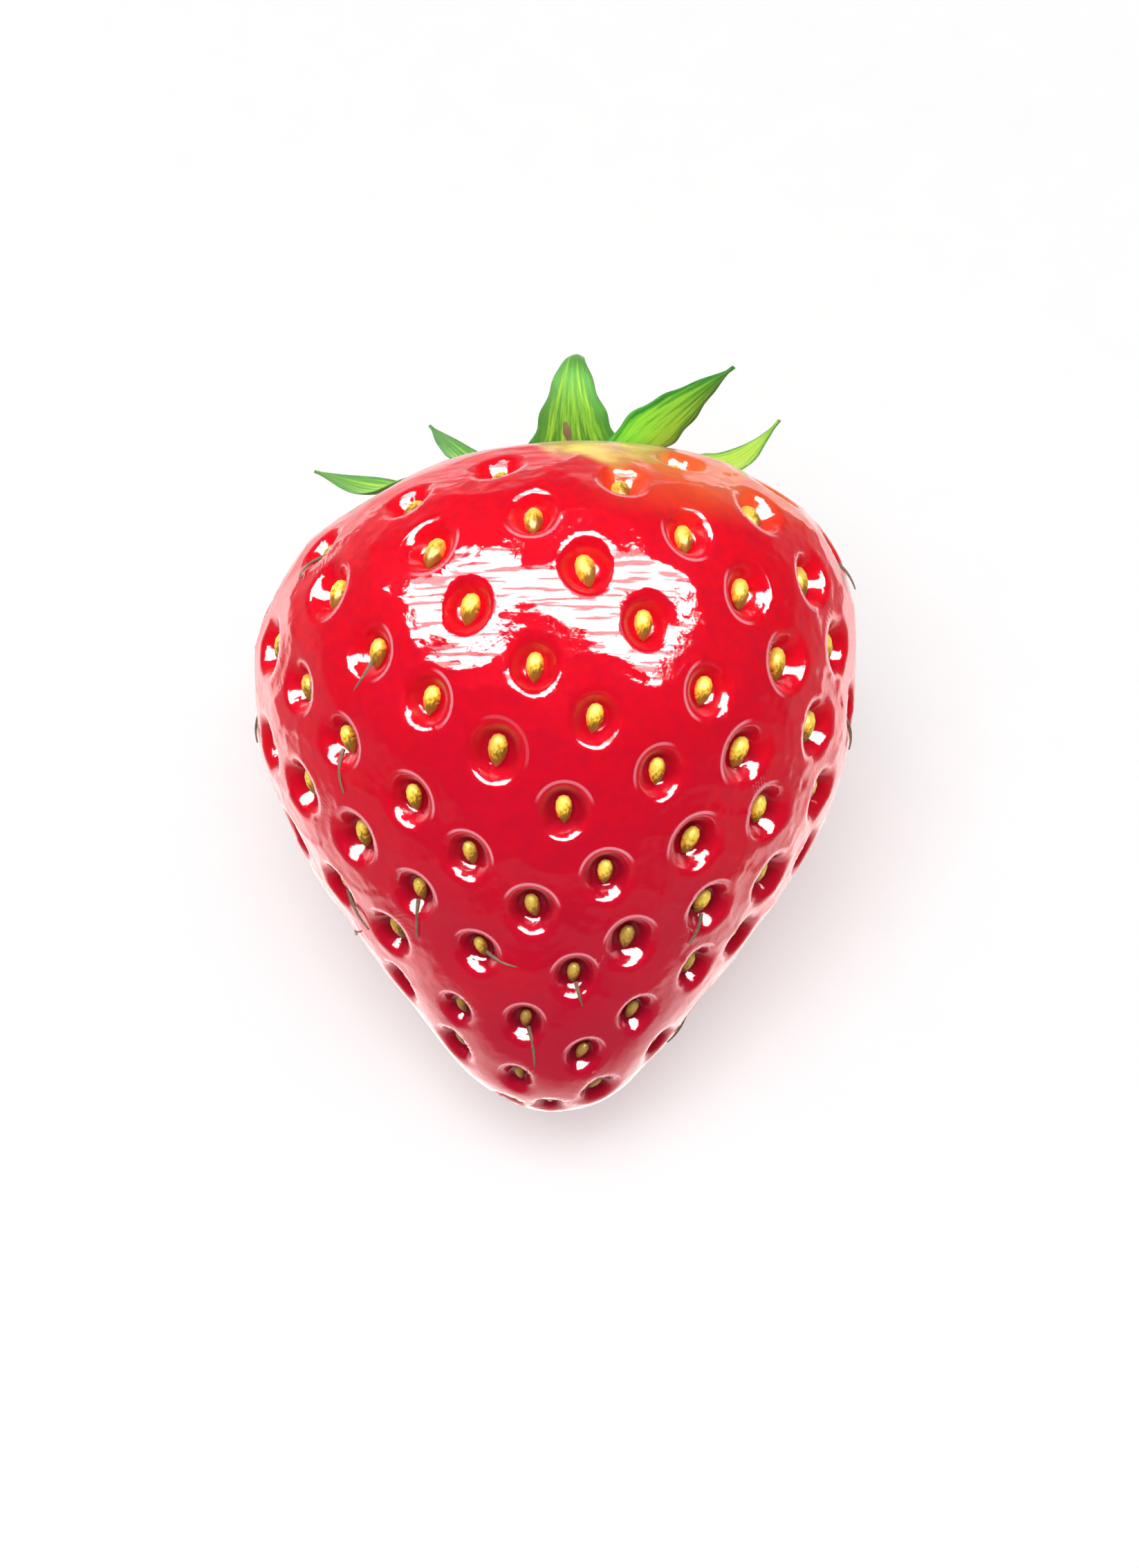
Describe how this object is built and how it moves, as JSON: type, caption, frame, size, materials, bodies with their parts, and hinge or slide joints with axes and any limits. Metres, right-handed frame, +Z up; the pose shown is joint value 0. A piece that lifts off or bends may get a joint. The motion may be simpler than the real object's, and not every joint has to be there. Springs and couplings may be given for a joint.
{
  "type": "strawberry",
  "caption": "Ripe heart-shaped strawberry with achenes sunk in its glossy skin, a green calyx of pointed lobes and a short cut stem, lying on its side.",
  "frame": {"origin": "middle of the flat spot on the far side of the fruit, on which it lies", "axes": "+Z up; +Y from the tip towards the calyx, along the berry's axis, which rises 26 degrees above level on that side; +X to the right seen from above with the calyx at the top"},
  "size_m": [0.0351, 0.0437, 0.0329],
  "materials": {
    "fruit": "wet-looking gloss",
    "achene": "satin",
    "calyx": "matte",
    "stem": "matte",
    "dried_thread": "matte"
  },
  "bodies": {
    "root": {"fruit": "fruit", "calyx": "calyx", "stem": "stem"}
  },
  "joints": []
}
